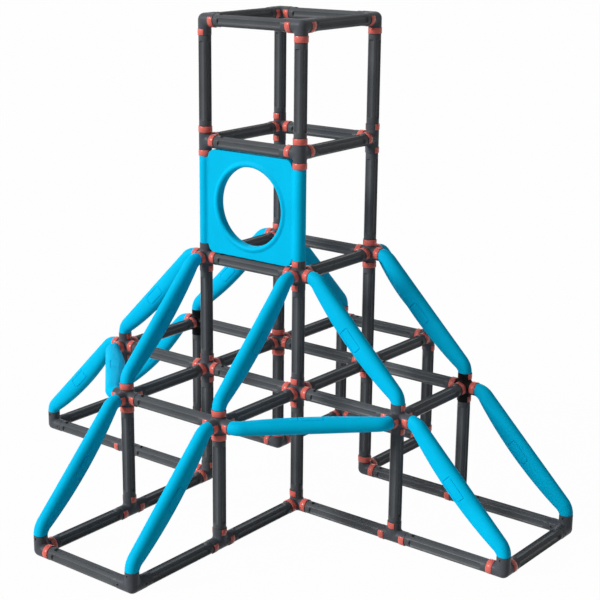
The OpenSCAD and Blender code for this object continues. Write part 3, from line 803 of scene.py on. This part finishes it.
def post_surface(sizes):
    """One of the panel's posts along Z about its middle, closed: a round bar with shoulders and necks."""
    half, r, edge = sizes.pitch / 2 - sizes.arm_l, sizes.tube_r, sizes.shoulder
    past, neck_r = neck_profile(sizes)
    upper_z = np.concatenate([half + past, half - SHOULDER_ALONG * edge, [half * POST_ROW_SHARE]])
    upper_r = np.concatenate([neck_r, r - SHOULDER_IN * edge, [r]])
    z = np.concatenate([-upper_z, upper_z[::-1]])
    radius = np.concatenate([upper_r, upper_r[::-1]])
    angle = np.linspace(0, 2 * math.pi, POST_STEPS, endpoint=False)
    return facing_out(*capped_sleeve(turned(radius[:, None], z, angle)))


class Finish:
    """Node-building shorthand for one moulded plastic."""

    def __init__(self, name):
        self.material = bpy.data.materials.new(name)
        self.material.use_nodes = True
        self.nodes = self.material.node_tree.nodes
        self.links = self.material.node_tree.links
        self.shader = self.nodes["Principled BSDF"]
        self.coords = self.nodes.new("ShaderNodeTexCoord").outputs["Object"]

    def noise(self, scale, detail, rough):
        """Noise over the piece, scale in cells per metre."""
        tex = self.nodes.new("ShaderNodeTexNoise")
        tex.inputs["Scale"].default_value = scale
        tex.inputs["Detail"].default_value = detail
        tex.inputs["Roughness"].default_value = rough
        self.links.new(self.coords, tex.inputs["Vector"])
        return tex.outputs["Fac"]

    def ramp(self, value, stops):
        """A colour ramp over a value, stops as (position, linear rgb)."""
        node = self.nodes.new("ShaderNodeValToRGB")
        node.color_ramp.elements[0].position = stops[0][0]
        node.color_ramp.elements[0].color = (*stops[0][1], 1)
        node.color_ramp.elements[1].position = stops[-1][0]
        node.color_ramp.elements[1].color = (*stops[-1][1], 1)
        for spot, colour in stops[1:-1]:
            node.color_ramp.elements.new(spot).color = (*colour, 1)
        self.links.new(value, node.inputs["Fac"])
        return node.outputs["Color"]

    def span(self, value, low, high, to_low, to_high):
        """A value carried from one range to another."""
        node = self.nodes.new("ShaderNodeMapRange")
        for key, number in zip(("From Min", "From Max", "To Min", "To Max"), (low, high, to_low, to_high)):
            node.inputs[key].default_value = number
        self.links.new(value, node.inputs["Value"])
        return node.outputs["Result"]

    def bump(self, height, distance, strength, under=None):
        """A bump from a height, over another bump if one is given."""
        node = self.nodes.new("ShaderNodeBump")
        node.inputs["Distance"].default_value = distance
        node.inputs["Strength"].default_value = strength
        self.links.new(height, node.inputs["Height"])
        if under is not None:
            self.links.new(under, node.inputs["Normal"])
        return node.outputs["Normal"]


def shade(colour, factor):
    """A colour made lighter or darker by a factor."""
    return tuple(min(1.0, max(0.0, x * factor)) for x in colour)


def moulded_plastic(name, colour, rough, grain, grain_depth, mottle, specular):
    """Moulded plastic: cloudy colour, patches of worn gloss, slight waves and a fine grain."""
    f = Finish(name)
    colour = tuple(colour)
    cloud = f.noise(scale=9.0, detail=4.0, rough=0.6)
    clouded = (shade(colour, 1 - mottle), colour, shade(colour, 1 + mottle))
    f.links.new(f.ramp(cloud, tuple(zip(CLOUD_STOPS, clouded))), f.shader.inputs["Base Color"])
    worn = f.noise(scale=26.0, detail=5.0, rough=0.65)
    gloss = f.span(worn, *WORN_RANGE, to_low=rough - GLOSSIER, to_high=rough + DULLER)
    f.links.new(gloss, f.shader.inputs["Roughness"])
    fine = f.noise(scale=grain, detail=2.0, rough=0.6)
    sag = f.noise(scale=38.0, detail=2.0, rough=0.5)
    waves = f.bump(sag, distance=WAVE_DEPTH, strength=0.25)
    skin = f.bump(fine, distance=grain_depth, strength=0.5, under=waves)
    f.links.new(skin, f.shader.inputs["Normal"])
    f.shader.inputs["Specular IOR Level"].default_value = specular
    f.shader.inputs["IOR"].default_value = PLASTIC_IOR
    return f.material


class GYM_OT_tubes(Operator):
    """Fluted tubes of the tower and the arms"""

    bl_idname = "gym.tubes"
    bl_label = "Tubes"

    def execute(self, context):
        sizes, colours = context.scene.gym_sizes, context.scene.gym_colours
        finish = moulded_plastic("anthracite tube", colours.tube, **TUBE_PLASTIC)
        points, quads, tris = tube_surface(sizes)
        for node, runs in tube_runs().items():
            shells = []
            for a, b in runs:
                along = np.array(b, float) - np.array(a, float)
                side = heading("X") if abs(along[2]) > 0 else heading("Z")
                centre = (place(sizes, a) + place(sizes, b)) / 2
                shells.append((aim(points, along, side, centre), quads, tris))
            make_piece(node, shells, finish)
        return {"FINISHED"}


class GYM_OT_hubs(Operator):
    """Socket hubs that the tubes plug into"""

    bl_idname = "gym.hubs"
    bl_label = "Hubs"

    def execute(self, context):
        sizes, colours = context.scene.gym_sizes, context.scene.gym_colours
        grey = moulded_plastic("anthracite hub", colours.hub, **HUB_PLASTIC)
        black = moulded_plastic("black hub", colours.black, **BLACK_PLASTIC)
        for node, rows in HUBS.items():
            shells = []
            for spot, letters, upright, level, bare in rows:
                points, quads, tris = hub_surface(sizes, letters, upright, level, bare)
                points = points + place(sizes, spot)
                if spot[2] == 0:
                    points = floor_flat(points)
                shells.append((points, quads, tris))
            finish, slot = (black, "hub_black") if node == BLACK_NODE else (grey, "hub_grey")
            make_piece(node, shells, finish, HUB_CREASE_DEG)
        return {"FINISHED"}


class GYM_OT_clips(Operator):
    """Locking clips on the hub arms"""

    bl_idname = "gym.clips"
    bl_label = "Clips"

    def execute(self, context):
        sizes, colours = context.scene.gym_sizes, context.scene.gym_colours
        finish = moulded_plastic("coral clip", colours.clip, **CLIP_PLASTIC)
        # A clip that faces sideways on a level floor arm is a short band, longer below its pin.
        full = clip_surface(sizes, -CLIP_DEG, CLIP_DEG)
        low_first = clip_surface(sizes, -TEE_CLIP_LONG_DEG, TEE_CLIP_SHORT_DEG)
        low_last = clip_surface(sizes, -TEE_CLIP_SHORT_DEG, TEE_CLIP_LONG_DEG)
        for node, height in CLIP_LEVELS.items():
            shells = []
            for spot, letters, upright, level, bare in (row for rows in HUBS.values() for row in rows):
                if spot[2] != height:
                    continue
                for letter in letters:
                    if letter in bare:
                        continue
                    along, side = heading(letter), pin_side(letter, upright, level)
                    band = full
                    if height == 0 and along[2] == 0 and side[2] == 0:
                        band = low_first if np.cross(along, side)[2] > 0 else low_last
                    shells.append((aim(band[0], along, side, place(sizes, spot)), band[1], band[2]))
            make_piece(node, shells, finish)
        return {"FINISHED"}


class GYM_OT_rails(Operator):
    """Bowed climbing rails"""

    bl_idname = "gym.rails"
    bl_label = "Rails"

    def execute(self, context):
        sizes, colours = context.scene.gym_sizes, context.scene.gym_colours
        finish = moulded_plastic("cyan rail", colours.rail, **RAIL_PLASTIC)
        for node, (spot, leave, enter) in rail_runs().items():
            points, quads, tris = rail_surface(sizes, heading(leave), heading(enter))
            make_piece(node, [(points + place(sizes, spot), quads, tris)], finish)
        return {"FINISHED"}


class GYM_OT_panel(Operator):
    """Window panel with its two posts"""

    bl_idname = "gym.panel"
    bl_label = "Window panel"

    def execute(self, context):
        sizes, colours = context.scene.gym_sizes, context.scene.gym_colours
        finish = moulded_plastic("cyan panel", colours.rail, **RAIL_PLASTIC)
        middle = (place(sizes, (0, 0, 2)) + place(sizes, (1, 0, 3))) / 2
        points, quads, tris = web_surface(sizes)
        shells = [(points + middle, quads, tris)]
        points, quads, tris = post_surface(sizes)
        for way in (-1, 1):
            beside = np.array([way * sizes.pitch / 2, 0, 0])
            shells.append((points + middle + beside, quads, tris))
        make_piece("window_panel", shells, finish)
        return {"FINISHED"}


def seen_white(nodes, links):
    """1 for what the camera sees straight or in gloss or glass, and 0 for light that only falls."""
    path = nodes.new("ShaderNodeLightPath")
    first = nodes.new("ShaderNodeMath")
    first.operation = "MAXIMUM"
    links.new(path.outputs["Is Camera Ray"], first.inputs[0])
    links.new(path.outputs["Is Glossy Ray"], first.inputs[1])
    second = nodes.new("ShaderNodeMath")
    second.operation = "MAXIMUM"
    links.new(first.outputs[0], second.inputs[0])
    links.new(path.outputs["Is Transmission Ray"], second.inputs[1])
    return second.outputs[0]


def studio_world(scene):
    """A world that is seen as white and gives a little light from all round."""
    world = bpy.data.worlds.new("studio")
    scene.world = world
    world.use_nodes = True
    nodes, links = world.node_tree.nodes, world.node_tree.links
    back = nodes["Background"]
    back.inputs["Color"].default_value = (1, 1, 1, 1)
    strength = nodes.new("ShaderNodeMapRange")
    strength.inputs["To Min"].default_value = WORLD_LIGHT
    strength.inputs["To Max"].default_value = SEEN_LIGHT
    links.new(seen_white(nodes, links), strength.inputs["Value"])
    links.new(strength.outputs["Result"], back.inputs["Strength"])


def floor_finish():
    """Matt grey in the light that it gives back, and nearly white where it is seen."""
    pale = bpy.data.materials.new("pale floor")
    pale.use_nodes = True
    nodes, links = pale.node_tree.nodes, pale.node_tree.links
    nodes.remove(nodes["Principled BSDF"])
    matt = nodes.new("ShaderNodeBsdfDiffuse")
    matt.inputs["Color"].default_value = (FLOOR_GREY, FLOOR_GREY, FLOOR_GREY, 1)
    glow = nodes.new("ShaderNodeEmission")
    glow.inputs["Color"].default_value = (1, 1, 1, 1)
    glow.inputs["Strength"].default_value = SEEN_LIGHT
    mix = nodes.new("ShaderNodeMixShader")
    share = nodes.new("ShaderNodeMath")
    share.operation = "MULTIPLY"
    share.inputs[1].default_value = FLOOR_WHITE_SHARE
    links.new(seen_white(nodes, links), share.inputs[0])
    links.new(share.outputs[0], mix.inputs["Fac"])
    links.new(matt.outputs["BSDF"], mix.inputs[1])
    links.new(glow.outputs["Emission"], mix.inputs[2])
    links.new(mix.outputs["Shader"], nodes["Material Output"].inputs["Surface"])
    return pale


def pale_floor(scene):
    """A wide, flat floor just under the pieces."""
    mesh = bpy.data.meshes.new("floor")
    w = FLOOR_HALF
    mesh.from_pydata([(-w, -w, 0), (w, -w, 0), (w, w, 0), (-w, w, 0)], [], [(0, 1, 2, 3)])
    mesh.materials.append(floor_finish())
    floor = bpy.data.objects.new("floor", mesh)
    floor.location.z = -FLOOR_DROP
    scene.collection.objects.link(floor)


def far_lamp(scene, name, turn_deg, height_deg, strength, spread_deg, in_gloss=True):
    """A far, soft lamp: turned from the window side to the left, at a height above the floor.

    A lamp that isn't in gloss lights the pieces without showing as a highlight on them.
    """
    lamp = bpy.data.lights.new(name, "SUN")
    lamp.energy = strength
    lamp.angle = math.radians(spread_deg)
    light = bpy.data.objects.new(name, lamp)
    turn, height = math.radians(turn_deg), math.radians(height_deg)
    level = math.cos(height)
    from_where = Vector((-math.sin(turn) * level, -math.cos(turn) * level, math.sin(height)))
    light.location = LAMP_DISTANCE * from_where
    light.rotation_euler = from_where.to_track_quat("Z", "Y").to_euler()
    light.visible_glossy = in_gloss
    scene.collection.objects.link(light)


def front_camera(scene):
    """The camera, above the floor to the right of the window side."""
    camera = bpy.data.cameras.new("camera")
    camera.lens = CAMERA_LENS
    camera.sensor_width = CAMERA_SENSOR
    camera.shift_x, camera.shift_y = CAMERA_SHIFT
    view = bpy.data.objects.new("camera", camera)
    view.location = CAMERA_AT
    view.rotation_euler = (math.radians(90 - CAMERA_DOWN_DEG), 0.0, math.radians(CAMERA_TURN_DEG))
    scene.collection.objects.link(view)
    scene.camera = view


class GYM_OT_stage(Operator):
    """Pale floor, soft studio light and the camera"""

    bl_idname = "gym.stage"
    bl_label = "Stage"

    def execute(self, context):
        scene = context.scene
        scene.view_settings.view_transform = "Standard"
        studio_world(scene)
        pale_floor(scene)
        far_lamp(scene, "key", turn_deg=31.0, height_deg=29.0, strength=3.05, spread_deg=20.0)
        far_lamp(scene, "ceiling", turn_deg=0.0, height_deg=88.0, strength=0.4, spread_deg=70.0)
        far_lamp(scene, "rear fill", turn_deg=150.0, height_deg=12.0, strength=1.8, spread_deg=40.0,
                 in_gloss=False)
        front_camera(scene)
        return {"FINISHED"}


class GYM_PT_pieces(Panel):
    """Sizes, colours and pieces of the climbing gym"""

    bl_idname = "GYM_PT_pieces"
    bl_label = "Climbing Gym"
    bl_space_type = "VIEW_3D"
    bl_region_type = "UI"
    bl_category = "Climbing Gym"

    def draw(self, context):
        for group in (context.scene.gym_sizes, context.scene.gym_colours):
            for key in group.__annotations__:
                self.layout.prop(group, key)
        for operator in OPERATORS:
            self.layout.operator(operator.bl_idname)


OPERATORS = (GYM_OT_tubes, GYM_OT_hubs, GYM_OT_clips, GYM_OT_rails, GYM_OT_panel, GYM_OT_stage)
CLASSES = (GymSizes, GymColours, *OPERATORS, GYM_PT_pieces)


def register():
    """Adds the classes and their settings to Blender."""
    for cls in CLASSES:
        bpy.utils.register_class(cls)
    bpy.types.Scene.gym_sizes = PointerProperty(type=GymSizes)
    bpy.types.Scene.gym_colours = PointerProperty(type=GymColours)


def unregister():
    """Takes the classes and their settings out again."""
    del bpy.types.Scene.gym_colours
    del bpy.types.Scene.gym_sizes
    for cls in reversed(CLASSES):
        bpy.utils.unregister_class(cls)


def main():
    """Registers the add-on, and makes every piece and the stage."""
    register()
    bpy.ops.gym.tubes()
    bpy.ops.gym.hubs()
    bpy.ops.gym.clips()
    bpy.ops.gym.rails()
    bpy.ops.gym.panel()
    bpy.ops.gym.stage()


if __name__ == "__main__":
    main()
